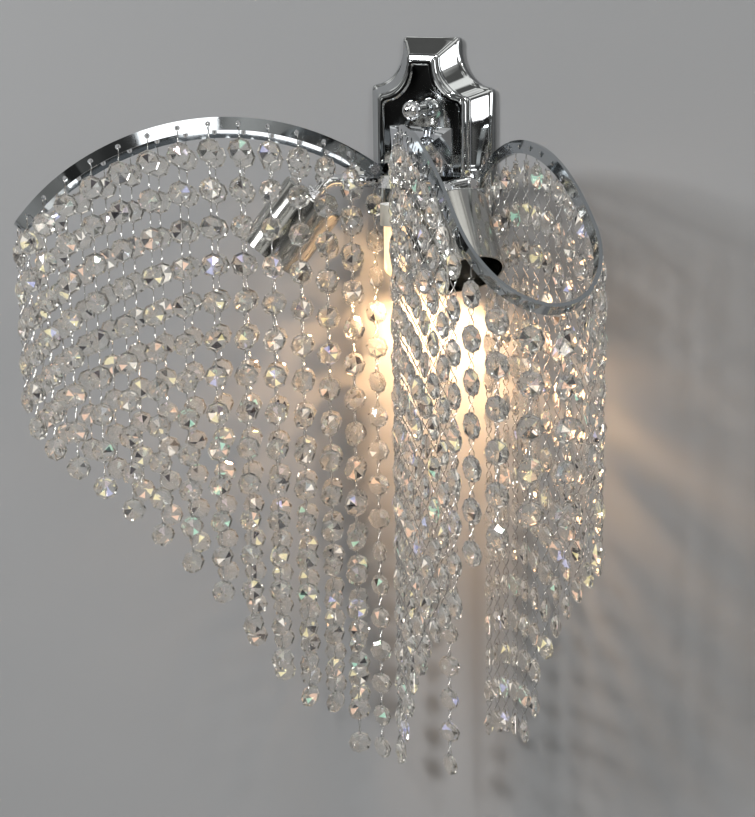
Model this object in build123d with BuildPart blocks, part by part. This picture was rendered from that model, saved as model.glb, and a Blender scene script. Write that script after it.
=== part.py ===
from build123d import *
import math
import os

# Crystal wall sconce: a chrome wall plate carries a cross bar, two lamps on bent arms, a third lamp
# under the boss, and two leaf-shaped strips of perforated flat bar hung with strands of octagon crystals.
#
# Millimetres. The wall is the plane y = 0, the room is towards -y, x runs along the wall and z is up.
# The origin is the middle of the wall bracket, on the wall. The right side is drawn and the left mirrors
# it, except that the left wing is shorter: it is drawn as a right wing of its own and then mirrored.

os.makedirs("parts", exist_ok=True)

# ---------------------------------------------------------------- driving dimensions

# fits between pieces
running_gap = 0.05          # radial play of a thread, a stem or a bar in its hole
seat_gap = 0.05             # air left between faces that are screwed together at an angle
pass_gap = 0.4              # radial play of a stud in a sheet-metal hole

# wall bracket
bracket_length = 110.0
bracket_width = 20.0
bracket_thick = 2.0
bracket_corner = 3.0
wall_slot_spacing = 88.0
wall_slot_width = 5.0
wall_slot_length = 12.0
earth_screw_z = -20.0
earth_head_radius = 3.5
earth_head_height = 2.0
earth_shank_radius = 1.9

# wall plate
plate_half_width = 41.0
plate_half_height = 71.0
plate_neck_half_width = 19.0
plate_neck_straight = 6.0
plate_depth = 15.0
plate_sheet = 1.2
rib_count = 4
front_inset_side = 12.5
front_inset_end = 12.0
front_inset_neck = 10.5
front_neck_straight = 1.5
panel_rim = 4.0
panel_recess = 0.8

# studs and ball nuts
stud_spacing = 62.0
stud_radius = 2.0
washer_radius = 5.0
washer_thick = 1.0
ball_radius = 5.5
ball_neck_radius = 3.2
ball_neck_length = 3.0

# boss
boss_base = 42.0
boss_front_width = 18.5
boss_front_height = 21.5
boss_front_drop = 2.0
boss_depth = 15.8

# cross bar and the nipple that clamps it
bar_side = 9.0
bar_wall = 1.0
bar_drop = 9.7
bar_stand_off = 0.5
bar_half_length = 36.0
nipple_radius = 3.4
nipple_bore_radius = 2.2
nipple_past_nut = 1.5
locknut_width = 11.0
locknut_thick = 3.0
end_block_reach = 3.2
end_block_bottom_x = 39.5
end_block_tip_u = 43.3
end_block_lift = 2.8
end_block_height = 10.2
end_block_plug = 1.8

# side lamps
arm_radius = 3.5
arm_bore_radius = 2.5
arm_root_x = 30.0
arm_grip = 2.8
arm_lead_out = 9.5
arm_rise = 12.0
arm_bend_radius = 9.0
cup_top_x = 46.0
cup_top_y = -55.5
cup_top_z = -17.0
cup_swing = 37.0
cup_dip = 51.5
cup_radius = 19.5
cup_length = 43.0
cup_wall = 1.2
cup_edge_round = 1.5
cup_nut_width = 13.0
cup_nut_thick = 3.5
arm_thread = 7.0
holder_radius = 8.5
holder_length = 12.0
bulb_pin_radius = 0.6
bulb_pin_spacing = 5.0
bulb_pin_length = 5.0
side_bulb_radius = 4.8
side_bulb_length = 15.0

# middle lamp, under the boss
centre_arm_radius = 2.5
centre_arm_bore = 1.7
centre_arm_grip = 3.2
centre_arm_z = -8.5
centre_arm_bend = 6.0
centre_lamp_y = -42.0
centre_lamp_z = -20.0
centre_bulb_radius = 6.5
centre_bulb_length = 30.0
centre_arm_thread = 6.0

# terminal block
block_width = 24.0
block_height = 12.0
block_depth = 8.0
block_z = 11.0
block_hole_radius = 1.6
block_hole_pitch = 8.0
block_hole_count = 3

# wing strips: a leaf outline seen from above, u along the wing and v across it
wing_yaw = 40.7
strip_thick = 2.0
strip_height = 7.0
far_edge_v = 14.8
far_end_u = 36.5
tip_radius = 35.9
right_tip_centre_u = 215.4
right_tip_wrap = 176.4
left_tip_centre_u = 202.0
left_tip_wrap = 177.8
near_end_u = 35.9
near_end_v = -30.3
arch_radius = 148.9
arch_top_u = 123.2
arch_top_z = 23.2
arch_end_u = 229.1
cross_tilt = -0.158
tilt_centre_v = -15.0
section_count = 48
plan_steps = 1200
end_allowance = 24.0
near_screw_inset = 4.5
far_screw_inset = 6.0
screw_radius = 1.5
screw_head_radius = 2.8
screw_head_height = 1.6
screw_length = 5.0
slot_width = 0.7
slot_depth = 0.8

# lug that joins the near ends of both strips to the boss
lug_thick = 2.0
lug_height = 7.0
lug_z = -1.0
lug_half_width = 5.2
lug_ear_length = 9.0
lug_bend_radius = 2.2

# strands of crystals
near_first_hole = 22.5
far_first_hole = 12.0
right_crystal_counts = (17, 17, 17, 16, 16, 15, 14, 13, 12, 11, 10, 9, 7, 6, 5)
right_crystal_counts += (5, 6, 7, 8, 9, 10, 11, 12, 13, 15, 16, 16, 16, 16, 16)
left_crystal_counts = (17, 16, 16, 15, 14, 13, 12, 11, 10, 9, 8, 7, 6, 5)
left_crystal_counts += (5, 6, 7, 8, 9, 10, 11, 12, 13, 15, 16, 16, 16, 16)
hub_crystal_count = 17
hole_radius = 1.5
hook_wire_radius = 0.6
hook_drop = 0.4
hook_leg_gap = 1.2
hook_overrun = 1.2
pin_width = 1.0
crystal_radius = 7.0
crystal_half_thick = 3.6
crystal_table_radius = 3.4
crystal_edge = 0.15
crystal_sides = 8
crystal_pitch = 21.0
first_crystal_drop = 14.0
hub_strand_x = 24.6

# ---------------------------------------------------------------- places worked out from them

plate_front_y = -plate_depth
boss_front_y = plate_front_y - boss_depth
bar_back_y = plate_front_y - bar_stand_off
bar_front_y = bar_back_y - bar_side
bar_y = (bar_back_y + bar_front_y) / 2
bar_z = -bar_drop
boss_front_z = -boss_front_drop
stud_z = stud_spacing / 2

yaw = math.radians(wing_yaw)
wing_along = Vector(math.cos(yaw), -math.sin(yaw), 0)
wing_across = Vector(math.sin(yaw), math.cos(yaw), 0)
up = Vector(0, 0, 1)

cup_axis = Vector(
    math.cos(math.radians(cup_dip)) * math.cos(math.radians(cup_swing)),
    -math.cos(math.radians(cup_dip)) * math.sin(math.radians(cup_swing)),
    -math.sin(math.radians(cup_dip)),
)
cup_top = Vector(cup_top_x, cup_top_y, cup_top_z)
cup_side_dir = cup_axis.cross(up).normalized()


def save(builder, node):
    """Label a finished piece and write its file."""
    builder.part.label = node
    export_step(builder.part, f"parts/{node}.step", write_pcurves=False)


def save_mirrored(source, node):
    """Write the left-hand twin of a right-hand piece."""
    with BuildPart() as twin:
        add(mirror(source.part, about=Plane.YZ, mode=Mode.PRIVATE))
    save(twin, node)


# ---------------------------------------------------------------- wall bracket, studs, earth screw

with BuildPart() as wall_bracket:
    with BuildSketch(Plane.XZ):
        Rectangle(bracket_width, bracket_length)
        with GridLocations(0, wall_slot_spacing, 1, 2):
            SlotOverall(wall_slot_length, wall_slot_width, rotation=90, mode=Mode.SUBTRACT)
        with GridLocations(0, stud_spacing, 1, 2):
            Circle(stud_radius + running_gap, mode=Mode.SUBTRACT)
        with Locations((0, earth_screw_z)):
            Circle(earth_shank_radius + running_gap, mode=Mode.SUBTRACT)
    extrude(amount=bracket_thick)
    fillet(wall_bracket.edges().filter_by(Axis.Y).group_by(Axis.Z)[0], radius=bracket_corner)
    fillet(wall_bracket.edges().filter_by(Axis.Y).group_by(Axis.Z)[-1], radius=bracket_corner)
save(wall_bracket, "wall_bracket")

stud_end_y = plate_front_y - washer_thick - ball_neck_length - ball_radius
with BuildPart() as bracket_studs:
    with BuildSketch(Plane.XZ):
        with GridLocations(0, stud_spacing, 1, 2):
            Circle(stud_radius)
    extrude(amount=-stud_end_y)
save(bracket_studs, "bracket_studs")

with BuildPart() as earth_screw:
    with BuildSketch(Plane.XZ):
        with Locations((0, earth_screw_z)):
            Circle(earth_shank_radius)
    extrude(amount=bracket_thick)
    with BuildSketch(Plane.XZ.offset(bracket_thick)):
        with Locations((0, earth_screw_z)):
            Circle(earth_head_radius)
    extrude(amount=earth_head_height)
    fillet(earth_screw.edges().group_by(Axis.Y)[0], radius=0.6)
save(earth_screw, "earth_screw")

# ---------------------------------------------------------------- wall plate


def shield(share, inset=0.0):
    """Half-turn symmetric plate outline: straight sides, quarter-round shoulders, narrow ends.

    share goes from 0 at the wall to 1 at the front panel; inset shrinks the outline evenly.
    """
    half_w = plate_half_width - front_inset_side * share - inset
    half_h = plate_half_height - front_inset_end * share - inset
    neck = plate_neck_half_width - front_inset_neck * share - inset
    straight = plate_neck_straight + (front_neck_straight - plate_neck_straight) * share
    shoulder = half_w - neck
    corner_z = half_h - straight
    with BuildSketch(mode=Mode.PRIVATE) as outline:
        with BuildLine():
            Polyline((0, half_h), (neck, half_h), (neck, corner_z))
            CenterArc((half_w, corner_z), shoulder, 180, 90)
            Line((half_w, corner_z - shoulder), (half_w, 0))
            Line((half_w, 0), (0, 0))
            Line((0, 0), (0, half_h))
        make_face()
        mirror(about=Plane.YZ)
        mirror(about=Plane.XZ)
    return outline.sketch


step_depth = plate_depth / (rib_count + 1)
with BuildPart() as canopy:
    for step in range(rib_count + 1):
        with BuildSketch(Plane.XZ):
            add(shield(step / rib_count))
        extrude(amount=step_depth * (step + 1))
    with BuildSketch(Plane.XZ.offset(plate_depth)):
        add(shield(1, panel_rim))
    extrude(amount=-panel_recess, mode=Mode.SUBTRACT)
    for step in range(rib_count + 1):
        with BuildSketch(Plane.XZ):
            add(shield(step / rib_count, plate_sheet))
        extrude(amount=step_depth * (step + 1) - plate_sheet - panel_recess, mode=Mode.SUBTRACT)
    with BuildSketch(Plane.XZ):
        with GridLocations(0, stud_spacing, 1, 2):
            Circle(stud_radius + pass_gap)
        with Locations((0, bar_z)):
            Circle(nipple_radius + running_gap)
    extrude(amount=plate_depth, mode=Mode.SUBTRACT)
save(canopy, "canopy")

panel_y = plate_front_y + panel_recess
washer_front_y = panel_y - washer_thick
with BuildPart() as stud_washers:
    with BuildSketch(Plane.XZ.offset(-panel_y)):
        with GridLocations(0, stud_spacing, 1, 2):
            Circle(washer_radius)
            Circle(stud_radius + pass_gap, mode=Mode.SUBTRACT)
    extrude(amount=washer_thick)
save(stud_washers, "stud_washers")


def ball_nut(height, node):
    """A turned ball nut on a short neck, threaded blind onto its stud."""
    ball_y = washer_front_y - ball_neck_length - ball_radius
    with BuildPart() as nut:
        with BuildSketch(Plane.XZ.offset(-washer_front_y)):
            with Locations((0, height)):
                Circle(ball_neck_radius)
        extrude(amount=ball_neck_length + ball_radius)
        with Locations((0, ball_y, height)):
            Sphere(ball_radius)
        with BuildSketch(Plane.XZ):
            with Locations((0, height)):
                Circle(stud_radius + running_gap)
        extrude(amount=-stud_end_y + running_gap, mode=Mode.SUBTRACT)
    save(nut, node)


ball_nut(stud_z, "upper_ball_nut")
ball_nut(-stud_z, "lower_ball_nut")

# ---------------------------------------------------------------- boss, nipple and cross bar

with BuildPart() as hub_boss:
    with BuildSketch(Plane.XZ.offset(-plate_front_y)):
        Rectangle(boss_base, boss_base)
    with BuildSketch(Plane.XZ.offset(-boss_front_y)):
        with Locations((0, boss_front_z)):
            Rectangle(boss_front_width, boss_front_height)
    loft(ruled=True)
    # the panel is sunk, so a shallow foot of the boss reaches down to it
    with BuildSketch(Plane.XZ.offset(-plate_front_y)):
        Rectangle(boss_base, boss_base)
    extrude(amount=-panel_recess)
    with BuildSketch(Plane.YZ):
        with Locations((bar_y, bar_z)):
            Rectangle(bar_side + 2 * running_gap, bar_side + 2 * running_gap)
    extrude(amount=boss_base, both=True, mode=Mode.SUBTRACT)
    with BuildSketch(Plane.XZ.offset(-panel_y)):
        with Locations((0, bar_z)):
            Circle(nipple_radius + running_gap)
    extrude(amount=panel_y - bar_back_y, mode=Mode.SUBTRACT)
    with BuildSketch(Plane.XZ.offset(-boss_front_y)):
        with Locations((0, centre_arm_z)):
            Circle(centre_arm_radius + running_gap)
    extrude(amount=-centre_arm_grip, mode=Mode.SUBTRACT)
    with BuildSketch(Plane.XZ.offset(-boss_front_y)):
        with Locations((0, lug_z)):
            Circle(screw_radius + running_gap)
    extrude(amount=-(screw_length - lug_thick + seat_gap), mode=Mode.SUBTRACT)
save(hub_boss, "hub_boss")

nut_back_y = panel_y + plate_sheet
nipple_back_y = nut_back_y + locknut_thick + nipple_past_nut
with BuildPart() as hub_nipple:
    with BuildSketch(Plane.XZ.offset(-nipple_back_y)):
        with Locations((0, bar_z)):
            Circle(nipple_radius)
            Circle(nipple_bore_radius, mode=Mode.SUBTRACT)
    extrude(amount=nipple_back_y - bar_back_y + bar_wall)
save(hub_nipple, "hub_nipple")

with BuildPart() as hub_locknut:
    with BuildSketch(Plane.XZ.offset(-nut_back_y - locknut_thick)):
        with Locations((0, bar_z)):
            RegularPolygon(locknut_width / 2, 6, major_radius=False)
            Circle(nipple_radius + running_gap, mode=Mode.SUBTRACT)
    extrude(amount=locknut_thick)
save(hub_locknut, "hub_locknut")

with BuildPart() as cross_bar:
    with BuildSketch(Plane.YZ):
        with Locations((bar_y, bar_z)):
            Rectangle(bar_side, bar_side)
            Rectangle(bar_side - 2 * bar_wall, bar_side - 2 * bar_wall, mode=Mode.SUBTRACT)
    extrude(amount=bar_half_length, both=True)
    with BuildSketch(Plane.XZ.offset(-bar_back_y)):
        with Locations((0, bar_z)):
            Circle(nipple_radius + running_gap)
    extrude(amount=bar_wall, mode=Mode.SUBTRACT)
    with BuildSketch(Plane.XZ.offset(-bar_front_y)):
        with Locations((arm_root_x, bar_z), (-arm_root_x, bar_z)):
            Circle(arm_radius + running_gap)
        with Locations((hub_strand_x, bar_z), (-hub_strand_x, bar_z)):
            Circle(hole_radius)
    extrude(amount=-bar_wall, mode=Mode.SUBTRACT)
save(cross_bar, "cross_bar")

# ---------------------------------------------------------------- course of a wing's strip


def arch_at(u):
    """Height and slope of the arched leaf above this place along the wing."""
    reach = min(u, arch_end_u) - arch_top_u
    drop = math.sqrt(arch_radius**2 - reach**2)
    slope = -reach / drop
    return arch_top_z - arch_radius + drop + slope * max(u - arch_end_u, 0), slope


class Leaf:
    """A strip's course from its near hub end round the tip to its far hub end, and its holes."""

    def __init__(self, tip_centre_u, tip_wrap, strands):
        self.tip_centre = Vector(tip_centre_u, far_edge_v - tip_radius)
        self.wrap = math.radians(tip_wrap)
        near_join = self.tip_centre + Vector(math.sin(self.wrap), math.cos(self.wrap)) * tip_radius
        self.near_side = Vector(-math.sin(self.wrap), -math.cos(self.wrap))
        near_chord = Vector(near_end_u, near_end_v) - near_join
        self.near_radius = near_chord.dot(near_chord) / (2 * near_chord.dot(self.near_side))
        self.near_centre = near_join + self.near_side * self.near_radius
        self.near_angle = 2 * math.asin(near_chord.length / (2 * self.near_radius))
        self.near_length = self.near_radius * self.near_angle
        self.tip_length = tip_radius * self.wrap
        self.plan_length = self.near_length + self.tip_length + tip_centre_u - far_end_u
        # length measured along the strip in space, so the holes come out evenly spaced
        self.marks = [self.plan_length * i / plan_steps for i in range(plan_steps + 1)]
        self.runs = [0.0]
        for start, stop in zip(self.marks, self.marks[1:]):
            self.runs.append(self.runs[-1] + (self.point(stop) - self.point(start)).length)
        hole_pitch = (self.runs[-1] - near_first_hole - far_first_hole) / (strands - 1)
        self.holes = [self.frame_at_run(near_first_hole + hole_pitch * i) for i in range(strands)]

    def outline_at(self, distance):
        """Plan position (u, v) this far along the outline from the near hub end."""
        if distance < self.near_length:
            turn = self.near_angle - distance / self.near_radius
            spoke = self.near_side * -self.near_radius
            return self.near_centre + Vector(
                spoke.X * math.cos(turn) + spoke.Y * math.sin(turn),
                -spoke.X * math.sin(turn) + spoke.Y * math.cos(turn),
            )
        if distance < self.near_length + self.tip_length:
            turn = self.wrap - (distance - self.near_length) / tip_radius
            return self.tip_centre + Vector(math.sin(turn), math.cos(turn)) * tip_radius
        return Vector(far_end_u + self.plan_length - distance, far_edge_v)

    def point(self, distance):
        """The middle of the strip in space, this far along the plan outline."""
        place = self.outline_at(distance)
        height = arch_at(place.X)[0] + cross_tilt * (place.Y - tilt_centre_v)
        return wing_along * place.X + wing_across * place.Y + up * height

    def frame(self, distance):
        """Position, direction along, outward normal and upward ruling of the strip."""
        place = self.outline_at(distance)
        along = (self.point(distance + 0.01) - self.point(distance - 0.01)).normalized()
        ruling = (up - wing_along * arch_at(place.X)[1] - wing_across * cross_tilt).normalized()
        return self.point(distance), along, along.cross(ruling).normalized(), ruling

    def frame_at_run(self, run):
        """The strip's frame at a length measured along the strip itself."""
        step = max(i for i in range(plan_steps) if self.runs[i] <= run)
        share = (run - self.runs[step]) / (self.runs[step + 1] - self.runs[step])
        return self.frame(self.marks[step] + share * self.plan_length / plan_steps)


right_leaf = Leaf(right_tip_centre_u, right_tip_wrap, len(right_crystal_counts))
left_leaf = Leaf(left_tip_centre_u, left_tip_wrap, len(left_crystal_counts))
near_screw_frame = right_leaf.frame_at_run(near_screw_inset)
far_screw_frame = right_leaf.frame_at_run(right_leaf.runs[-1] - far_screw_inset)

# ---------------------------------------------------------------- wing strips


def form_strip(leaf):
    """A wing's strip, formed over-long, cut square at both ends and drilled."""
    with BuildPart() as strip:
        section_pitch = (leaf.plan_length + 2 * end_allowance) / section_count
        for section in range(section_count + 1):
            at, along, outward, ruling = leaf.frame(section_pitch * section - end_allowance)
            with BuildSketch(Plane(origin=at, x_dir=outward, z_dir=along)):
                Rectangle(strip_thick, strip_height)
        loft()
        for distance, direction in ((0, 1), (leaf.plan_length, -1)):
            at, along, outward, ruling = leaf.frame(distance)
            with BuildSketch(Plane(origin=at, x_dir=outward, z_dir=along * -direction)):
                Rectangle(2 * strip_height, 2 * strip_height)
            extrude(amount=2 * end_allowance, mode=Mode.SUBTRACT)
        for at, along, outward, ruling in leaf.holes:
            with BuildSketch(Plane(origin=at, x_dir=along, z_dir=outward)):
                Circle(hole_radius)
            extrude(amount=strip_thick, both=True, mode=Mode.SUBTRACT)
        for at, along, outward, ruling in (near_screw_frame, far_screw_frame):
            with BuildSketch(Plane(origin=at, x_dir=along, z_dir=outward)):
                Circle(screw_radius + running_gap)
            extrude(amount=strip_thick, both=True, mode=Mode.SUBTRACT)
    return strip


save(form_strip(right_leaf), "right_wing_strip")
save_mirrored(form_strip(left_leaf), "left_wing_strip")

# ---------------------------------------------------------------- end blocks of the cross bar

strip_face = strip_thick / 2 + seat_gap
block_tip = wing_along * end_block_tip_u + wing_across * (far_edge_v - strip_face)
with BuildPart() as right_end_block:
    with BuildSketch(Plane.XY.offset(bar_z - bar_side / 2 + end_block_lift)):
        with BuildLine():
            Polyline(
                (bar_half_length, bar_back_y),
                (bar_half_length + end_block_reach, bar_back_y),
                (block_tip.X, block_tip.Y),
                (end_block_bottom_x, bar_front_y),
                (bar_half_length, bar_front_y),
                close=True,
            )
        make_face()
    extrude(amount=end_block_height)
    with BuildSketch(Plane.YZ.offset(bar_half_length)):
        with Locations((bar_y, bar_z)):
            plug_side = bar_side - 2 * bar_wall - 2 * running_gap
            Rectangle(plug_side, plug_side)
    extrude(amount=-end_block_plug)
    # seat and threaded hole for the far end of the strip
    at, along, outward, ruling = far_screw_frame
    with BuildSketch(Plane(origin=at - outward * strip_face, x_dir=along, z_dir=outward)):
        Rectangle(4 * strip_height, 3 * strip_height)
    extrude(amount=strip_height, mode=Mode.SUBTRACT)
    with BuildSketch(Plane(origin=at, x_dir=along, z_dir=outward)):
        Circle(screw_radius + running_gap)
    extrude(amount=-screw_length, mode=Mode.SUBTRACT)

with BuildPart() as bar_end_blocks:
    add(right_end_block.part)
    add(mirror(right_end_block.part, about=Plane.YZ, mode=Mode.PRIVATE))
save(bar_end_blocks, "bar_end_blocks")

# ---------------------------------------------------------------- front lug

at, along, outward, ruling = near_screw_frame
ear_dir = Vector(along.X, along.Y).normalized()
ear_mid = at - outward * (strip_face + lug_thick / 2)
ear_mid = Vector(ear_mid.X, ear_mid.Y)
ear_end = ear_mid + ear_dir * (lug_ear_length / 2)
ear_root = ear_mid - ear_dir * ((ear_mid.X - lug_half_width) / ear_dir.X)
lug_back_y = boss_front_y - lug_thick / 2
lug_bottom_z = lug_z - lug_height / 2
with BuildPart() as front_lug:
    with BuildSketch(Plane.XY.offset(lug_bottom_z)):
        with BuildLine():
            FilletPolyline(
                (-ear_end.X, ear_end.Y),
                (-ear_root.X, ear_root.Y),
                (-lug_half_width, lug_back_y),
                (lug_half_width, lug_back_y),
                (ear_root.X, ear_root.Y),
                (ear_end.X, ear_end.Y),
                radius=lug_bend_radius,
            )
        trace(line_width=lug_thick)
    extrude(amount=lug_height)
    with BuildSketch(Plane.XZ.offset(-boss_front_y)):
        with Locations((0, lug_z)):
            Circle(screw_radius + running_gap)
    extrude(amount=lug_thick, mode=Mode.SUBTRACT)
    for side in (1, -1):
        mid = Vector(at.X * side, at.Y, at.Z)
        turn = Vector(along.X * side, along.Y, along.Z)
        face = Vector(outward.X * side, outward.Y, outward.Z)
        with BuildSketch(Plane(origin=mid - face * strip_face, x_dir=turn, z_dir=face)):
            Rectangle(2 * lug_ear_length, 2 * strip_height)
        extrude(amount=strip_height / 2, mode=Mode.SUBTRACT)
        with BuildSketch(Plane(origin=mid, x_dir=turn, z_dir=face)):
            Circle(screw_radius + running_gap)
        extrude(amount=-screw_length, mode=Mode.SUBTRACT)
save(front_lug, "front_lug")

# ---------------------------------------------------------------- screws of the strips and the lug

screw_seats = [(Vector(0, boss_front_y - lug_thick, lug_z), Vector(0, -1, 0), Vector(1, 0, 0))]
for at, along, outward, ruling in (near_screw_frame, far_screw_frame):
    seat = at + outward * strip_face
    screw_seats.append((seat, outward, along))
    screw_seats.append(
        (
            Vector(-seat.X, seat.Y, seat.Z),
            Vector(-outward.X, outward.Y, outward.Z),
            Vector(-along.X, along.Y, along.Z),
        )
    )

with BuildPart() as strip_screws:
    for seat, outward, along in screw_seats:
        with BuildSketch(Plane(origin=seat, x_dir=along, z_dir=outward)):
            Circle(screw_head_radius)
        extrude(amount=screw_head_height)
        with BuildSketch(Plane(origin=seat, x_dir=along, z_dir=outward)):
            Circle(screw_radius)
        extrude(amount=-screw_length)
        with BuildSketch(Plane(origin=seat + outward * screw_head_height, x_dir=along, z_dir=outward)):
            Rectangle(2 * screw_head_radius, slot_width)
        extrude(amount=-slot_depth, mode=Mode.SUBTRACT)
save(strip_screws, "strip_screws")

# ---------------------------------------------------------------- side lamps


def cup_plane(distance):
    """A plane square to the right lamp's axis, this far below the top of its cup."""
    return Plane(origin=cup_top + cup_axis * distance, x_dir=cup_side_dir, z_dir=cup_axis)


arm_knee_y = bar_front_y - arm_lead_out
with BuildPart() as right_lamp_arm:
    with BuildLine() as route:
        FilletPolyline(
            (arm_root_x, bar_front_y + arm_grip, bar_z),
            (arm_root_x, arm_knee_y, bar_z),
            cup_top - cup_axis * arm_rise,
            cup_top + cup_axis * arm_thread,
            radius=arm_bend_radius,
        )
    with BuildSketch(Plane(origin=route.line @ 0, z_dir=route.line % 0)):
        Circle(arm_radius)
        Circle(arm_bore_radius, mode=Mode.SUBTRACT)
    sweep()
save(right_lamp_arm, "right_lamp_arm")
save_mirrored(right_lamp_arm, "left_lamp_arm")

with BuildPart() as right_cup:
    with BuildSketch(cup_plane(0)):
        Circle(cup_radius)
    extrude(amount=cup_length)
    crown = right_cup.edges().filter_by(GeomType.CIRCLE).sort_by_distance(cup_top)[0]
    fillet(crown, radius=cup_edge_round)
    mouth = right_cup.faces().sort_by(Axis(cup_top, cup_axis))[-1]
    offset(amount=-cup_wall, openings=mouth)
    with BuildSketch(cup_plane(0)):
        Circle(arm_radius + running_gap)
    extrude(amount=cup_wall, mode=Mode.SUBTRACT)
save(right_cup, "right_cup")
save_mirrored(right_cup, "left_cup")

with BuildPart() as right_cup_nut:
    with BuildSketch(cup_plane(-cup_nut_thick)):
        RegularPolygon(cup_nut_width / 2, 6, major_radius=False)
        Circle(arm_radius + running_gap, mode=Mode.SUBTRACT)
    extrude(amount=cup_nut_thick)
with BuildPart() as cup_nuts:
    add(right_cup_nut.part)
    add(mirror(right_cup_nut.part, about=Plane.YZ, mode=Mode.PRIVATE))
save(cup_nuts, "cup_nuts")


def make_holder(plane, bore_radius, bore_depth):
    """Ceramic lampholder: bored at the top for its tube, with two pin holes below."""
    with BuildPart() as holder:
        with BuildSketch(plane):
            Circle(holder_radius)
        extrude(amount=holder_length)
        with BuildSketch(plane):
            Circle(bore_radius + running_gap)
        extrude(amount=bore_depth + running_gap, mode=Mode.SUBTRACT)
        with BuildSketch(plane.offset(holder_length)):
            with GridLocations(bulb_pin_spacing, 0, 2, 1):
                Circle(bulb_pin_radius + running_gap)
        extrude(amount=-(bulb_pin_length + running_gap), mode=Mode.SUBTRACT)
    return holder


def make_bulb(plane, radius, length):
    """Capsule bulb: a round-ended glass cylinder on two pins, its base face on the plane."""
    with BuildPart() as bulb:
        with BuildSketch(plane):
            Circle(radius)
        extrude(amount=length - radius)
        with Locations(plane.offset(length - radius).location):
            Sphere(radius)
        with BuildSketch(plane):
            with GridLocations(bulb_pin_spacing, 0, 2, 1):
                Circle(bulb_pin_radius)
        extrude(amount=-bulb_pin_length)
    return bulb


right_lampholder = make_holder(cup_plane(cup_wall), arm_radius, arm_thread - cup_wall)
save(right_lampholder, "right_lampholder")
save_mirrored(right_lampholder, "left_lampholder")

right_bulb = make_bulb(cup_plane(cup_wall + holder_length), side_bulb_radius, side_bulb_length)
save(right_bulb, "right_bulb")
save_mirrored(right_bulb, "left_bulb")

# ---------------------------------------------------------------- middle lamp

with BuildPart() as centre_lamp_arm:
    with BuildLine() as route:
        FilletPolyline(
            (0, boss_front_y + centre_arm_grip, centre_arm_z),
            (0, centre_lamp_y, centre_arm_z),
            (0, centre_lamp_y, centre_lamp_z - centre_arm_thread),
            radius=centre_arm_bend,
        )
    with BuildSketch(Plane(origin=route.line @ 0, z_dir=route.line % 0)):
        Circle(centre_arm_radius)
        Circle(centre_arm_bore, mode=Mode.SUBTRACT)
    sweep()
save(centre_lamp_arm, "centre_lamp_arm")

centre_plane = Plane(origin=(0, centre_lamp_y, centre_lamp_z), x_dir=(1, 0, 0), z_dir=(0, 0, -1))
centre_lampholder = make_holder(centre_plane, centre_arm_radius, centre_arm_thread)
save(centre_lampholder, "centre_lampholder")

centre_bulb = make_bulb(centre_plane.offset(holder_length), centre_bulb_radius, centre_bulb_length)
save(centre_bulb, "centre_bulb")

# ---------------------------------------------------------------- terminal block

with BuildPart() as terminal_block:
    with BuildSketch(Plane.XZ.offset(bracket_thick)):
        with Locations((0, block_z)):
            Rectangle(block_width, block_height)
    extrude(amount=block_depth)
    with BuildSketch(Plane.XY.offset(block_z - block_height / 2)):
        with Locations((0, -bracket_thick - block_depth / 2)):
            with GridLocations(block_hole_pitch, 0, block_hole_count, 1):
                Circle(block_hole_radius)
    extrude(amount=block_height, mode=Mode.SUBTRACT)
save(terminal_block, "terminal_block")

# ---------------------------------------------------------------- strands of crystals

with BuildPart() as crystal:
    with BuildSketch(Plane.XZ):
        RegularPolygon(crystal_radius, crystal_sides)
    extrude(amount=crystal_half_thick, both=True)
    chamfer(
        crystal.edges().filter_by(Axis.Y, reverse=True),
        length=crystal_half_thick - crystal_edge,
        length2=crystal_radius - crystal_table_radius,
    )

hanging = {}
for count in sorted({*right_crystal_counts, *left_crystal_counts, hub_crystal_count}):
    drops = [first_crystal_drop + crystal_pitch * i for i in range(count)]
    with BuildPart() as hanging[count]:
        with BuildSketch(Plane.XY.offset(-drops[-1])):
            Rectangle(pin_width, pin_width)
        extrude(amount=drops[-1])
        with Locations(*[(0, 0, -drop) for drop in drops]):
            add(crystal.part)


def hang_strand(at, outward, ruling, sheet, count):
    """One strand: a pin through the hole and a leg outside it that carries the crystals."""
    leg_offset = sheet / 2 + hook_leg_gap + pin_width / 2
    leg_top = at - ruling * hook_drop + outward * leg_offset
    facing = math.degrees(math.atan2(outward.X, -outward.Y))
    with BuildPart() as strand:
        with BuildSketch(Plane(origin=leg_top, z_dir=outward)):
            Circle(hook_wire_radius)
        extrude(amount=-(leg_offset + sheet / 2 + hook_overrun))
        with Locations(Location((leg_top.X, leg_top.Y, leg_top.Z), (0, 0, facing))):
            add(hanging[count].part)
    return strand


def hang_pair(leaf, counts, first):
    """Two neighbouring strands of a wing, which swing together."""
    strands = []
    for hole in (first, first + 1):
        at, along, outward, ruling = leaf.holes[hole]
        strands.append(hang_strand(at, outward, ruling, strip_thick, counts[hole]))
    with BuildPart() as pair:
        for strand in strands:
            add(strand.part)
    return pair


for pair in range(len(right_crystal_counts) // 2):
    save(hang_pair(right_leaf, right_crystal_counts, 2 * pair), f"right_strands_{pair + 1:02d}")
for pair in range(len(left_crystal_counts) // 2):
    save_mirrored(hang_pair(left_leaf, left_crystal_counts, 2 * pair), f"left_strands_{pair + 1:02d}")

hub_hole = Vector(hub_strand_x, bar_front_y + bar_wall / 2, bar_z)
hub_strand = hang_strand(hub_hole, Vector(0, -1, 0), up, bar_wall, hub_crystal_count)
with BuildPart() as hub_strands:
    add(hub_strand.part)
    add(mirror(hub_strand.part, about=Plane.YZ, mode=Mode.PRIVATE))
save(hub_strands, "hub_strands")
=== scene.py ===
import math
import random

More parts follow.
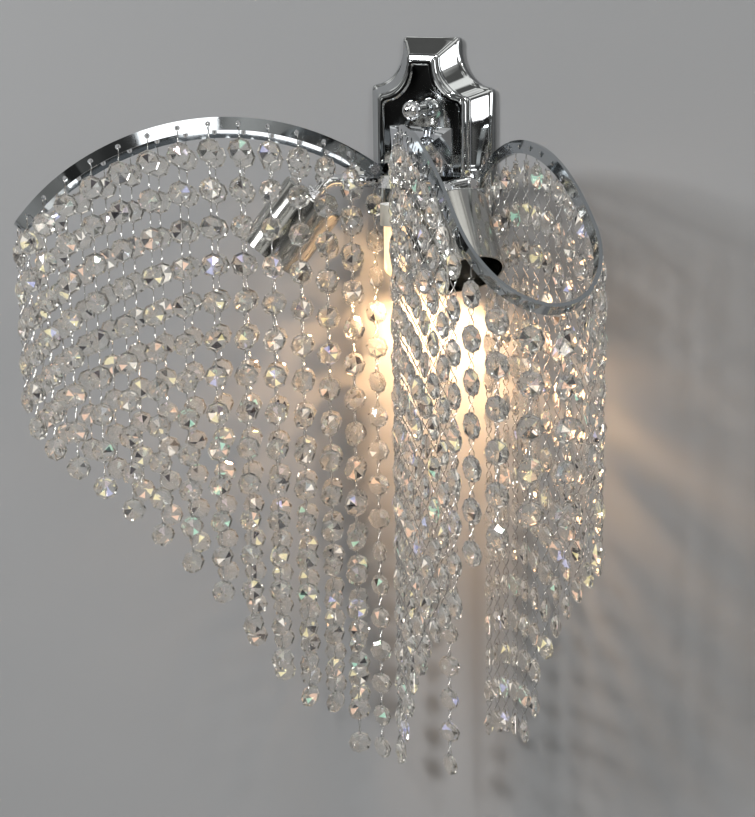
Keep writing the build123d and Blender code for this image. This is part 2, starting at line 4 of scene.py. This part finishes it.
import bmesh
import bpy
from mathutils import Matrix, Vector


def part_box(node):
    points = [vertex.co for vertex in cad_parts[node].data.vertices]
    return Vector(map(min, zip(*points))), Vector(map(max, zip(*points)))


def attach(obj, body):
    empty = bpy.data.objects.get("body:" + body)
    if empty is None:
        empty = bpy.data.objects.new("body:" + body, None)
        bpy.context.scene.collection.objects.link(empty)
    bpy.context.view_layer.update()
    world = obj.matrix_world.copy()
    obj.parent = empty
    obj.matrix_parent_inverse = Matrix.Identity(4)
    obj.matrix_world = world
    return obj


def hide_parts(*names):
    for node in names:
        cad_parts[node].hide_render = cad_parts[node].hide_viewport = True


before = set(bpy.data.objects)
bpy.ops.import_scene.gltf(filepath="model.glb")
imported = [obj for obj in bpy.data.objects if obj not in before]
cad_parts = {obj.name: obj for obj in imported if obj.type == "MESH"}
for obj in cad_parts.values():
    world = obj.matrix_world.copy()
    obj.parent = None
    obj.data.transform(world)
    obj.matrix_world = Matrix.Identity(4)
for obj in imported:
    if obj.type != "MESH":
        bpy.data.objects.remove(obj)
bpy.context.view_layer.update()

# ------------------------------------------------------------------ the wall it hangs on
# A plain painted wall, grey and slightly warm towards the floor, with a fine roller texture.
# It is only the setting: seen from behind it lets the view through to the back of the light.

def material_named(name):
    """A new node material, its node tree, and its main surface shader."""
    made = bpy.data.materials.new(name)
    made.use_nodes = True
    return made, made.node_tree, made.node_tree.nodes["Principled BSDF"]


def add_node(tree, kind, **inputs):
    """A shader node with its named inputs set."""
    node = tree.nodes.new(kind)
    for key, value in inputs.items():
        node.inputs[key.replace("_", " ")].default_value = value
    return node


def grain(tree, shader, scale, depth, detail=4.0, space="Object"):
    """Fine bump from noise, measured in metres of depth."""
    place = tree.nodes.new("ShaderNodeTexCoord")
    noise = add_node(tree, "ShaderNodeTexNoise", Scale=scale, Detail=detail)
    bump = add_node(tree, "ShaderNodeBump", Strength=1.0, Distance=depth)
    tree.links.new(place.outputs[space], noise.inputs["Vector"])
    tree.links.new(noise.outputs["Fac"], bump.inputs["Height"])
    tree.links.new(bump.outputs["Normal"], shader.inputs["Normal"])
    return noise


def spread(tree, source, socket, low, high, start=0.3, stop=0.7):
    """Drive a number socket from a noise output, between two values."""
    span = add_node(tree, "ShaderNodeMapRange")
    for key, value in (("From Min", start), ("From Max", stop), ("To Min", low), ("To Max", high)):
        span.inputs[key].default_value = value
    tree.links.new(source, span.inputs["Value"])
    tree.links.new(span.outputs["Result"], socket)


def tint(tree, source, socket, stops, sharp=False):
    """Drive a colour socket from a noise output through colour stops (place, colour)."""
    ramp = tree.nodes.new("ShaderNodeValToRGB")
    if sharp:
        ramp.color_ramp.interpolation = "CONSTANT"
    while len(ramp.color_ramp.elements) < len(stops):
        ramp.color_ramp.elements.new(0.5)
    for element, (where, colour) in zip(ramp.color_ramp.elements, stops):
        element.position = where
        element.color = (*colour, 1)
    tree.links.new(source, ramp.inputs["Fac"])
    tree.links.new(ramp.outputs["Color"], socket)


def mesh_piece(name, verts, faces, material, smooth_angle=None):
    """A new object from points and faces, with one material."""
    data = bpy.data.meshes.new(name)
    data.from_pydata([tuple(v) for v in verts], [], faces)
    data.validate()
    made = bpy.data.objects.new(name, data)
    bpy.context.scene.collection.objects.link(made)
    data.materials.append(material)
    if smooth_angle is not None:
        data.shade_smooth()
        data.set_sharp_from_angle(angle=math.radians(smooth_angle))
    return made


wall_paint, tree, shader = material_named("wall_paint")
shader.inputs["Roughness"].default_value = 0.85
noise = grain(tree, shader, 900, 0.00004)
cloudy = add_node(tree, "ShaderNodeTexNoise", Scale=1.3, Detail=2.0)
tree.links.new(noise.inputs["Vector"].links[0].from_socket, cloudy.inputs["Vector"])
tint(tree, cloudy.outputs["Fac"], shader.inputs["Base Color"],
     [(0.3, (0.278, 0.282, 0.288)), (0.7, (0.298, 0.303, 0.310))])
facing = tree.nodes.new("ShaderNodeNewGeometry")
see_through = tree.nodes.new("ShaderNodeBsdfTransparent")
one_sided = tree.nodes.new("ShaderNodeMixShader")
tree.links.new(facing.outputs["Backfacing"], one_sided.inputs["Fac"])
tree.links.new(shader.outputs["BSDF"], one_sided.inputs[1])
tree.links.new(see_through.outputs["BSDF"], one_sided.inputs[2])
tree.links.new(one_sided.outputs["Shader"], tree.nodes["Material Output"].inputs["Surface"])

floor_paint, tree, shader = material_named("floor_paint")
shader.inputs["Roughness"].default_value = 0.7
noise = grain(tree, shader, 500, 0.00005)
tint(tree, noise.outputs["Fac"], shader.inputs["Base Color"],
     [(0.3, (0.45, 0.45, 0.445)), (0.7, (0.48, 0.48, 0.475))])

wall_gap = 0.0004
wall_reach = 4.0
floor_level = -1.4
# behind the plate the wall is open for the supply box, so light reaches the back of the light there
box_half_width = 0.034
box_half_height = 0.044
wall_corners = [(wall_reach, wall_reach), (-wall_reach, wall_reach),
                (-wall_reach, floor_level), (wall_reach, floor_level)]
box_corners = [(box_half_width, box_half_height), (-box_half_width, box_half_height),
               (-box_half_width, -box_half_height), (box_half_width, -box_half_height)]
wall = mesh_piece(
    "wall",
    [(x, wall_gap, z) for x, z in wall_corners + box_corners],
    [(i, (i + 1) % 4, (i + 1) % 4 + 4, i + 4) for i in range(4)], wall_paint)
floor = mesh_piece(
    "floor",
    [(-wall_reach, wall_gap, floor_level), (wall_reach, wall_gap, floor_level),
     (wall_reach, -2 * wall_reach, floor_level), (-wall_reach, -2 * wall_reach, floor_level)],
    [(0, 3, 2, 1)], floor_paint)

# ------------------------------------------------------------------ room light and camera
# The room: a grey ambient with bright and dark upright bands that polished metal and cut glass pick up,
# a broad soft lamp up and left of the camera, and a weaker one from the right.

world = bpy.data.worlds.new("room")
bpy.context.scene.world = world
world.use_nodes = True
tree = world.node_tree
sky = tree.nodes["Background"]
place = tree.nodes.new("ShaderNodeTexCoord")
parts = tree.nodes.new("ShaderNodeSeparateXYZ")
tree.links.new(place.outputs["Generated"], parts.inputs["Vector"])
flatten = add_node(tree, "ShaderNodeMapping")
flatten.inputs["Scale"].default_value = (1.0, 1.0, 0.22)
bands = add_node(tree, "ShaderNodeTexNoise", Scale=4.2, Detail=1.5)
tree.links.new(place.outputs["Generated"], flatten.inputs["Vector"])
tree.links.new(flatten.outputs["Vector"], bands.inputs["Vector"])
stripes = tree.nodes.new("ShaderNodeValToRGB")
for element, (where, level) in zip(stripes.color_ramp.elements, ((0.48, 0.08), (0.60, 0.85))):
    element.position = where
    element.color = (level, level * 0.99, level * 0.95, 1)
tree.links.new(bands.outputs["Fac"], stripes.inputs["Fac"])
rise = tree.nodes.new("ShaderNodeValToRGB")
while len(rise.color_ramp.elements) < 4:
    rise.color_ramp.elements.new(0.5)
room_levels = ((0.0, 0.42), (0.38, 0.22), (0.56, 0.48), (0.75, 1.5))
for element, (where, level) in zip(rise.color_ramp.elements, room_levels):
    element.position = where
    element.color = (level, level, level, 1)
height = add_node(tree, "ShaderNodeMapRange")
for key, value in (("From Min", -1.0), ("From Max", 1.0)):
    height.inputs[key].default_value = value
tree.links.new(parts.outputs["Z"], height.inputs["Value"])
tree.links.new(height.outputs["Result"], rise.inputs["Fac"])
# an unlit doorway across the room, which the flat front of the wall plate mirrors
doorway = tree.nodes.new("ShaderNodeVectorMath")
doorway.operation = "DOT_PRODUCT"
doorway.inputs[1].default_value = (-0.549, -0.804, -0.228)
tree.links.new(place.outputs["Generated"], doorway.inputs[0])
unlit = add_node(tree, "ShaderNodeMapRange")
for key, value in (("From Min", 0.80), ("From Max", 0.92), ("To Min", 1.0), ("To Max", 0.05)):
    unlit.inputs[key].default_value = value
tree.links.new(doorway.outputs["Value"], unlit.inputs["Value"])


def multiplied(first, second):
    """Two colours multiplied."""
    made = tree.nodes.new("ShaderNodeMix")
    made.data_type = "RGBA"
    made.blend_type = "MULTIPLY"
    made.inputs["Factor"].default_value = 1.0
    tree.links.new(first, made.inputs[6])
    tree.links.new(second, made.inputs[7])
    return made.outputs[2]


layered = multiplied(multiplied(stripes.outputs["Color"], rise.outputs["Color"]), unlit.outputs["Result"])
paths = tree.nodes.new("ShaderNodeLightPath")
plain = tree.nodes.new("ShaderNodeMix")
plain.data_type = "RGBA"
tree.links.new(paths.outputs["Is Camera Ray"], plain.inputs["Factor"])
tree.links.new(layered, plain.inputs[6])
plain.inputs[7].default_value = (0.62, 0.63, 0.64, 1)
tree.links.new(plain.outputs[2], sky.inputs["Color"])
sky.inputs["Strength"].default_value = 1.0


def soft_lamp(name, place, aim, size, power, colour=(1, 1, 1)):
    """A square area lamp aimed at a point."""
    data = bpy.data.lights.new(name, "AREA")
    data.size = size
    data.energy = power
    data.color = colour
    lamp = bpy.data.objects.new(name, data)
    bpy.context.scene.collection.objects.link(lamp)
    lamp.location = place
    lamp.rotation_mode = "QUATERNION"
    lamp.rotation_quaternion = (Vector(aim) - Vector(place)).to_track_quat("-Z", "Y")
    return lamp


soft_lamp("key_lamp", (-1.15, -1.5, 0.75), (0, -0.05, -0.1), 0.45, 26)
soft_lamp("fill_lamp", (1.6, -1.6, 0.4), (0, -0.05, -0.1), 0.8, 7)
soft_lamp("sparkle_lamp_left", (-0.35, -1.7, 1.2), (0, -0.05, -0.1), 0.12, 5)
soft_lamp("sparkle_lamp_right", (1.2, -1.0, 0.9), (0, -0.05, -0.1), 0.12, 4)

camera_right = Vector((0.8274, 0.5614, -0.0139))
camera_up = Vector((-0.1171, 0.1968, 0.9733))
camera_back = camera_right.cross(camera_up)
camera_place = Vector((0.6209, -0.9712, 0.1236))
focal_pixels = 1982.0
photo_height = 817
camera_data = bpy.data.cameras.new("photo_camera")
camera_data.lens = focal_pixels / photo_height * camera_data.sensor_width
camera = bpy.data.objects.new("photo_camera", camera_data)
bpy.context.scene.collection.objects.link(camera)
camera.matrix_world = Matrix.Translation(camera_place) @ Matrix(
    (camera_right, camera_up, camera_back)).transposed().to_4x4()
bpy.context.scene.camera = camera
bpy.context.scene.view_settings.view_transform = "Standard"

# ------------------------------------------------------------------ wall bracket, studs and terminal block
# Zinc-plated sheet screwed to the wall, two threaded studs riveted through it, and an earth screw.
# The white terminal block snaps on the bracket.

def finish_node(name, material, bevel=0.0, angle=35):
    """Give a CAD piece its material, and rounded edges where the real one has them."""
    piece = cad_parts[name]
    piece.data.materials.clear()
    piece.data.materials.append(material)
    if bevel:
        rounding = piece.modifiers.new("rounded_edges", "BEVEL")
        rounding.width = bevel
        rounding.segments = 2
        rounding.limit_method = "ANGLE"
        rounding.angle_limit = math.radians(angle)
        rounding.harden_normals = True
    return piece


zinc, tree, shader = material_named("zinc_plate")
shader.inputs["Metallic"].default_value = 1.0
noise = grain(tree, shader, 400, 0.00002)
tint(tree, noise.outputs["Fac"], shader.inputs["Base Color"],
     [(0.3, (0.42, 0.43, 0.45)), (0.7, (0.56, 0.57, 0.58))])
spread(tree, noise.outputs["Fac"], shader.inputs["Roughness"], 0.28, 0.46)

screw_steel, tree, shader = material_named("screw_steel")
shader.inputs["Metallic"].default_value = 1.0
noise = grain(tree, shader, 1500, 0.000008)
tint(tree, noise.outputs["Fac"], shader.inputs["Base Color"],
     [(0.3, (0.50, 0.50, 0.51)), (0.7, (0.66, 0.66, 0.67))])
spread(tree, noise.outputs["Fac"], shader.inputs["Roughness"], 0.18, 0.34)

block_plastic, tree, shader = material_named("block_plastic")
noise = grain(tree, shader, 700, 0.00002)
tint(tree, noise.outputs["Fac"], shader.inputs["Base Color"],
     [(0.3, (0.80, 0.79, 0.76)), (0.7, (0.86, 0.85, 0.82))])
spread(tree, noise.outputs["Fac"], shader.inputs["Roughness"], 0.34, 0.48)

finish_node("wall_bracket", zinc, 0.0003)
finish_node("bracket_studs", screw_steel, 0.0003)
finish_node("earth_screw", screw_steel)
finish_node("terminal_block", block_plastic, 0.0005)

# ------------------------------------------------------------------ wall plate
# Pressed and chromed steel: ribs run round the sloping sides up to a rim, with a sunk mirror panel inside it.
# It drops over the bracket and two ball nuts hold it.

def polished(name, colour, rough_low, rough_high, smear=9.0, depth=0.000002):
    """Chrome: a mirror with faint wiping marks that only change its gloss."""
    made, tree, shader = material_named(name)
    shader.inputs["Metallic"].default_value = 1.0
    noise = grain(tree, shader, 160, depth, 2.0)
    marks = add_node(tree, "ShaderNodeTexNoise", Scale=smear * 6, Detail=6.0, Roughness=0.7)
    tree.links.new(noise.inputs["Vector"].links[0].from_socket, marks.inputs["Vector"])
    spread(tree, marks.outputs["Fac"], shader.inputs["Roughness"], rough_low, rough_high, 0.4, 0.75)
    darker = tuple(0.93 * c for c in colour)
    tint(tree, marks.outputs["Fac"], shader.inputs["Base Color"], [(0.3, darker), (0.6, colour)])
    return made


plate_chrome = polished("plate_chrome", (0.55, 0.57, 0.58), 0.03, 0.09)
plate_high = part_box("canopy")[1]
plate_half_width = plate_high.x
plate_half_height = plate_high.z
plate_neck = 0.019
neck_straight = 0.006
front_inset = (0.0125, 0.012, 0.0105)
front_straight = 0.0015
corner_round = 0.0026
# depth, share of the way in to the front outline, and even inset, from the wall out and over the rim
plate_profile = [
    (0.0, 0.0, 0.0), (0.0030, 0.0, 0.0), (0.0036, 0.02, 0.0003), (0.0041, 0.07, 0.0005),
    (0.0046, 0.10, 0.0009),
    (0.0106, 0.66, 0.0006), (0.0110, 0.68, 0.0009), (0.0119, 0.69, 0.0009), (0.0122, 0.72, 0.0009),
    (0.0125, 0.80, 0.0009), (0.0126, 0.82, 0.0010), (0.0133, 0.83, 0.0010), (0.0136, 0.86, 0.0010),
    (0.0138, 0.93, 0.0010), (0.0139, 0.95, 0.0010), (0.0147, 0.97, 0.0010), (0.0150, 1.0, 0.0012),
    (0.0150, 1.0, 0.0024), (0.0147, 1.0, 0.0027), (0.0143, 1.0, 0.0032), (0.01425, 1.0, 0.0060),
]


def plate_outline(share, inset, steps=10):
    """One quarter of the shield outline, from the middle of the top to the middle of the side."""
    half_width = plate_half_width - front_inset[0] * share - inset
    half_height = plate_half_height - front_inset[1] * share - inset
    neck = plate_neck - front_inset[2] * share - inset
    straight = neck_straight + (front_straight - neck_straight) * share
    shoulder = half_width - neck
    corner_z = half_height - straight
    round_top = min(corner_round, 0.45 * neck, 0.8 * straight)
    points = [(0.0, half_height), (0.5 * (neck - round_top), half_height)]
    for i in range(steps // 2 + 1):
        angle = math.pi / 2 * (1 - i / (steps // 2))
        points.append((neck - round_top + round_top * math.cos(angle),
                       half_height - round_top + round_top * math.sin(angle)))
    start_angle, end_angle = math.pi, 1.5 * math.pi - corner_round / shoulder
    for i in range(steps + 1):
        angle = start_angle + (end_angle - start_angle) * i / steps
        points.append((half_width + shoulder * math.cos(angle), corner_z + shoulder * math.sin(angle)))
    low_z = corner_z - shoulder
    points.append((half_width - 0.3 * corner_round, low_z - 0.3 * corner_round))
    points.append((half_width, low_z - corner_round))
    points += [(half_width, low_z * 0.5), (half_width, 0.0)]
    return points


rings = []
for depth, share, inset in plate_profile:
    quarter = plate_outline(share, inset)
    ring = quarter + [(x, -z) for x, z in quarter[-2::-1]]
    ring += [(-x, z) for x, z in ring[-2:0:-1]]
    rings.append([Vector((x, -depth, z)) for x, z in ring])
around = len(rings[0])
plate_verts = [corner for ring in rings for corner in ring]
plate_faces = []
for row in range(len(rings) - 1):
    for i in range(around):
        j = (i + 1) % around
        lower, upper = row * around, (row + 1) * around
        plate_faces.append((upper + i, upper + j, lower + j, lower + i))
plate_faces.append(tuple((len(rings) - 1) * around + i for i in reversed(range(around))))
canopy = mesh_piece("wall_plate", plate_verts, plate_faces, plate_chrome, smooth_angle=24)
sheet = canopy.modifiers.new("sheet", "SOLIDIFY")
sheet.thickness = 0.0010
sheet.offset = -1.0
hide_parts("canopy")
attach(canopy, "frame")
finish_node("stud_washers", plate_chrome, 0.0002)

# ------------------------------------------------------------------ ball nuts
# Turned brass balls on a short neck, chromed, screwed on the studs by hand.

bright_chrome = polished("bright_chrome", (0.86, 0.87, 0.88), 0.03, 0.09)
for name in ("upper_ball_nut", "lower_ball_nut"):
    finish_node(name, bright_chrome)

# ------------------------------------------------------------------ boss, nipple and cross bar
# A solid chromed pyramid sits over the square bar; a hollow nipple through the plate draws both tight.

boss_chrome = polished("boss_chrome", (0.70, 0.72, 0.75), 0.03, 0.08)
finish_node("hub_boss", boss_chrome, 0.0004)
finish_node("hub_nipple", screw_steel)
finish_node("hub_locknut", screw_steel, 0.0003)
finish_node("cross_bar", bright_chrome, 0.0004)
finish_node("bar_end_blocks", bright_chrome, 0.0004)

# ------------------------------------------------------------------ wing strips, lug and screws
# Flat steel bar, drilled at an even pitch, bent round a leaf-shaped former, arched and chromed.
# Slotted screws hold the near ends to the lug and the far ends to the blocks of the bar.

strip_chrome = polished("strip_chrome", (0.47, 0.50, 0.52), 0.04, 0.12)
for name in ("left_wing_strip", "right_wing_strip"):
    finish_node(name, strip_chrome, 0.0003)
finish_node("front_lug", strip_chrome, 0.0003)
finish_node("strip_screws", screw_steel, 0.0002)

# ------------------------------------------------------------------ side lamps
# Bent chromed tubes carry spun cups, with a ceramic lampholder and a small capsule bulb deep inside each.

cup_chrome = polished("cup_chrome", (0.50, 0.50, 0.48), 0.10, 0.22)
for name in ("left_cup", "right_cup"):
    finish_node(name, cup_chrome)
for name in ("left_lamp_arm", "right_lamp_arm", "centre_lamp_arm"):
    finish_node(name, bright_chrome)
finish_node("cup_nuts", screw_steel, 0.0003)

ceramic, tree, shader = material_named("glazed_ceramic")
noise = grain(tree, shader, 300, 0.00002)
tint(tree, noise.outputs["Fac"], shader.inputs["Base Color"],
     [(0.3, (0.58, 0.55, 0.48)), (0.7, (0.64, 0.61, 0.54))])
spread(tree, noise.outputs["Fac"], shader.inputs["Roughness"], 0.16, 0.28)
for name in ("left_lampholder", "right_lampholder", "centre_lampholder"):
    finish_node(name, ceramic, 0.0006)

capsule_glass, tree, shader = material_named("capsule_glass")
shader.inputs["Transmission Weight"].default_value = 0.7
shader.inputs["IOR"].default_value = 1.46
noise = grain(tree, shader, 250, 0.00001)
tint(tree, noise.outputs["Fac"], shader.inputs["Base Color"],
     [(0.3, (0.90, 0.89, 0.86)), (0.7, (0.96, 0.95, 0.93))])
spread(tree, noise.outputs["Fac"], shader.inputs["Roughness"], 0.12, 0.3)
for name in ("left_bulb", "right_bulb"):
    finish_node(name, capsule_glass)

# ------------------------------------------------------------------ middle lamp
# The one that is lit: a warm capsule bulb hanging bare under the boss, hidden among the strands.
# Its own glow is weak, so two spot lamps and a small area lamp beside it give the light it casts.

lit_glass, tree, shader = material_named("lit_capsule")
noise = grain(tree, shader, 250, 0.00001)
tint(tree, noise.outputs["Fac"], shader.inputs["Base Color"],
     [(0.3, (0.95, 0.80, 0.55)), (0.7, (1.0, 0.86, 0.62))])
tint(tree, noise.outputs["Fac"], shader.inputs["Emission Color"],
     [(0.3, (1.0, 0.62, 0.30)), (0.7, (1.0, 0.72, 0.42))])
shader.inputs["Emission Strength"].default_value = 1.1
finish_node("centre_bulb", lit_glass)

bulb_low, bulb_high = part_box("centre_bulb")
bulb_middle = (bulb_low + bulb_high) / 2
glow_clearance = 0.008


def spot_glow(name, place, power, colour, softness, cone, blend):
    """A small warm spot lamp, pointing straight down until it is turned."""
    data = bpy.data.lights.new(name, "SPOT")
    data.energy = power
    data.color = colour
    data.shadow_soft_size = softness
    data.spot_size = math.radians(cone)
    data.spot_blend = blend
    lamp = bpy.data.objects.new(name, data)
    bpy.context.scene.collection.objects.link(lamp)
    lamp.location = place
    return lamp


spot_glow("warm_glow", (bulb_middle.x, bulb_middle.y, bulb_low.z - glow_clearance),
          2.6, (1.0, 0.60, 0.30), 0.006, 165, 0.5)
side_glow = spot_glow("side_glow", (bulb_low.x - glow_clearance, bulb_low.y - 0.002, bulb_middle.z),
                      0.38, (1.0, 0.62, 0.32), 0.004, 150, 0.6)
side_glow.rotation_mode = "QUATERNION"
side_glow.rotation_quaternion = Vector((-0.45, 0.25, -0.85)).to_track_quat("-Z", "Y")
soft_lamp("glow_on_wall", (0.09, -0.10, -0.09), (0.20, 0.0, -0.13), 0.05, 0.035, (1.0, 0.62, 0.34))

# ------------------------------------------------------------------ strands of crystals
# Clear cut octagon crystals, drilled at the top and bottom corner and joined by bow links of bright wire.
# Each strand hooks through its own hole; its place, length and facing come from the solid it stands for.

crystal_radius = 0.00695
apex_height = 0.0033
fan_radius = 0.0048
fan_height = 0.0017
girdle_half = 0.00028
drill_radius = 0.0056
crystal_pitch = 0.021
first_drop = 0.014
crystal_sides = 8
crystal_foot = 0.007
free_play = 20
edge_play = 5
edge_x = 0.15
edge_y = -0.17
crystal_lean = 2
wire_radius = 0.00028
bow_width = 0.0032
eye_radius = 0.0013
strand_random = random.Random(11)


def crystal_cut():
    """Corners and facets of one crystal about its middle: a fan of wedges on each face, then a bevel."""
    corners, facets = [], []
    half_sector = math.pi / crystal_sides
    rim = 2 * crystal_sides
    for side in (-1, 1):
        corners.append(Vector((0, side * apex_height, 0)))
        for i in range(crystal_sides):
            angle = 2 * half_sector * i
            corners.append(Vector((fan_radius * math.cos(angle), side * fan_height,
                                   fan_radius * math.sin(angle))))
        for i in range(rim):
            reach = crystal_radius * (math.cos(half_sector) if i % 2 else 1)
            angle = half_sector * i
            corners.append(Vector((reach * math.cos(angle), side * girdle_half, reach * math.sin(angle))))
    half = 1 + crystal_sides + rim
    for apex in (0, half):
        for i in range(crystal_sides):
            here, after = apex + 1 + i, apex + 1 + (i + 1) % crystal_sides
            corner = apex + 1 + crystal_sides + 2 * i
            next_corner = apex + 1 + crystal_sides + (2 * i + 2) % rim
            facets += [(apex, here, after), (here, corner + 1, after)]
            facets += [(here, corner, corner + 1), (after, corner + 1, next_corner)]
    for i in range(rim):
        here, after = 1 + crystal_sides + i, 1 + crystal_sides + (i + 1) % rim
        facets.append((here, after, after + half, here + half))
    return corners, facets


def wire_along(points, radius, closed=False, sides=5):
    """Corners and faces of a round wire bent along points."""
    corners, faces = [], []
    count = len(points)
    side_dir = None
    for i, point in enumerate(points):
        ahead = points[(i + 1) % count] if closed else points[min(i + 1, count - 1)]
        behind = points[i - 1] if closed or i else points[0]
        along = (ahead - behind).normalized()
        if side_dir is None:
            side_dir = along.orthogonal()
        side_dir = (side_dir - along * side_dir.dot(along)).normalized()
        other = along.cross(side_dir)
        for k in range(sides):
            angle = 2 * math.pi * k / sides
            corners.append(point + (side_dir * math.cos(angle) + other * math.sin(angle)) * radius)
    for i in range(count if closed else count - 1):
        here, there = i * sides, (i + 1) % count * sides
        for k in range(sides):
            turn = (k + 1) % sides
            faces.append((here + k, here + turn, there + turn, there + k))
    return corners, faces


def strands_in(node):
    """(top of the leg, crystal count, outward direction, reach of the hook) of each strand of a node."""
    body = bmesh.new()
    body.from_mesh(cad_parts[node].data)
    bmesh.ops.remove_doubles(body, verts=body.verts, dist=1e-6)
    body.verts.index_update()
    reached = set()
    found = []
    # corners are walked in their own order, so every run meets the strands in the same order
    for start in body.verts:
        if start.index in reached:
            continue
        reached.add(start.index)
        group, edge = [], [start]
        while edge:
            vertex = edge.pop()
            group.append(vertex)
            for link in vertex.link_edges:
                other = link.other_vert(vertex)
                if other.index not in reached:
                    reached.add(other.index)
                    edge.append(other)
        spots = [v.co.copy() for v in group]
        low = min(spot.z for spot in spots)
        high = max(spot.z for spot in spots)
        tip = [spot for spot in spots if spot.z < low + 0.0002]
        axis = sum(tip, Vector()) / len(tip)
        count = round((high - low - crystal_foot - first_drop) / crystal_pitch) + 1
        leg_top = Vector((axis.x, axis.y, low + crystal_foot + crystal_pitch * (count - 1) + first_drop))
        hook = [spot for spot in spots if spot.z > leg_top.z - 0.004]
        reach = max((spot - leg_top).length for spot in hook)
        inner = [spot for spot in hook if (spot - leg_top).length > reach - 0.0009]
        outward = (leg_top - sum(inner, Vector()) / len(inner)).normalized()
        found.append((leg_top, count, outward, reach))
    body.free()
    return found


cut_corners, cut_facets = crystal_cut()


def add_part(verts, faces, part):
    """Add one part's corners and faces to a growing mesh."""
    first = len(verts)
    verts.extend(part[0])
    faces.extend(tuple(first + i for i in face) for face in part[1])


def bow_link(middle, forward, reach):
    """A figure-eight link, as tall as the holes are apart."""
    points = []
    for i in range(20):
        turn = 2 * math.pi * i / 20
        sideways = bow_width / 2 * math.sin(2 * turn)
        points.append(middle + forward * sideways + Vector((0, 0, reach * math.cos(turn))))
    return wire_along(points, wire_radius, closed=True)


def hook_wire(leg_top, outward, reach, forward):
    """The hook: a tail behind the strip, through its hole, down, and round the first crystal's hole."""
    inner = leg_top - outward * (reach - 0.0004)
    eye_middle = leg_top + Vector((0, 0, drill_radius - first_drop + eye_radius))
    points = [inner + Vector((0, 0, 0.0012)) + outward * 0.0002, inner + Vector((0, 0, 0.0003)),
              inner + outward * 0.0005]
    points += [leg_top - outward * 0.0009, leg_top - outward * 0.0002 - Vector((0, 0, 0.0003)),
               leg_top - Vector((0, 0, 0.0012)), eye_middle + Vector((0, 0, 1.7 * eye_radius))]
    for i in range(10):
        turn = math.pi * (0.42 + 1.75 * i / 9)
        sideways = -eye_radius * math.cos(turn)
        points.append(eye_middle + forward * sideways + Vector((0, 0, eye_radius * math.sin(turn))))
    return wire_along(points, wire_radius * 1.15)


cut_crystal, tree, shader = material_named("cut_crystal")
shader.inputs["Transmission Weight"].default_value = 0.94
shader.inputs["IOR"].default_value = 1.55
shader.inputs["Roughness"].default_value = 0.0
shader.inputs["Thin Film IOR"].default_value = 1.5
# one random number per facet: it sets the real thickness of the coating, and it picks the wedges that get painted
# shade or a painted flash
film_and_painted_glint = tree.nodes.new("ShaderNodeAttribute")
film_and_painted_glint.attribute_name = "film_and_painted_glint"
spread(tree, film_and_painted_glint.outputs["Fac"], shader.inputs["Thin Film Thickness"], 250, 650, 0.0, 1.0)
# a small share of the wedges is painted dark, painted shade standing in for the dark the cut glass throws back,
# and a few glow with painted flashes, painted reflections in the colours of the coating
# share of the wedges painted near black as painted shade
painted_shade_share = 0.035
tint(tree, film_and_painted_glint.outputs["Fac"], shader.inputs["Base Color"],
     [(0.0, (0.05, 0.05, 0.06)), (painted_shade_share, (0.93, 0.92, 0.89)), (0.4, (0.98, 0.96, 0.92)),
      (0.7, (0.98, 0.94, 0.88))],
     sharp=True)
# painted flashes: a few wedge facets glow in these colours, painted reflections, though the crystal is no lamp
painted_flashes = [(0.0, (0.0, 0.0, 0.0)), (0.955, (0.95, 0.55, 0.34)), (0.968, (0.95, 0.86, 0.40)),
           (0.979, (0.28, 0.75, 0.55)), (0.984, (0.34, 0.40, 0.85)), (0.988, (1.0, 0.95, 0.86))]
tint(tree, film_and_painted_glint.outputs["Fac"], shader.inputs["Emission Color"], painted_flashes, sharp=True)
shader.inputs["Emission Strength"].default_value = 0.55

link_wire = polished("link_wire", (0.72, 0.72, 0.71), 0.12, 0.22)

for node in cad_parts:
    if "strands" not in node:
        continue
    glass_verts, glass_faces, wire_verts, wire_faces, film_and_painted_glints = [], [], [], [], []
    for leg_top, count, outward, reach in strands_in(node):
        forward = Vector((outward.x, outward.y, 0)).normalized()
        facing = math.atan2(forward.x, -forward.y)
        play = free_play if abs(leg_top.x) < edge_x and leg_top.y > edge_y else edge_play
        add_part(wire_verts, wire_faces, hook_wire(leg_top, outward, reach, forward))
        for i in range(count):
            middle = leg_top - Vector((0, 0, first_drop + crystal_pitch * i))
            turn = Matrix.Rotation(facing + math.radians(strand_random.uniform(-play, play)), 3, "Z")
            turn = turn @ Matrix.Rotation(math.radians(strand_random.uniform(-crystal_lean, crystal_lean)), 3, "X")
            part = [middle + turn @ corner for corner in cut_corners], cut_facets
            add_part(glass_verts, glass_faces, part)
            # wedge facets may draw painted shade or a painted flash; the other facets draw only the plain middle
            # range
            for facet in cut_facets:
                wedge = cut_corners[facet[0]].x == 0
                film_and_painted_glints.append(strand_random.random() if wedge else strand_random.uniform(0.1, 0.9))
            if i + 1 < count:
                gap_middle = middle - Vector((0, 0, crystal_pitch / 2))
                link_reach = crystal_pitch / 2 - drill_radius + wire_radius
                add_part(wire_verts, wire_faces, bow_link(gap_middle, forward, link_reach))
    glass = mesh_piece(f"{node}_crystals", glass_verts, glass_faces, cut_crystal)
    attribute = glass.data.attributes.new("film_and_painted_glint", "FLOAT", "FACE")
    attribute.data.foreach_set("value", film_and_painted_glints)
    tidy = bmesh.new()
    tidy.from_mesh(glass.data)
    bmesh.ops.recalc_face_normals(tidy, faces=tidy.faces)
    tidy.to_mesh(glass.data)
    tidy.free()
    wire = mesh_piece(f"{node}_wire", wire_verts, wire_faces, link_wire, smooth_angle=80)
    for piece, finish in ((glass, "crystal"), (wire, "chrome")):
        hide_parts(node)
        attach(piece, node)
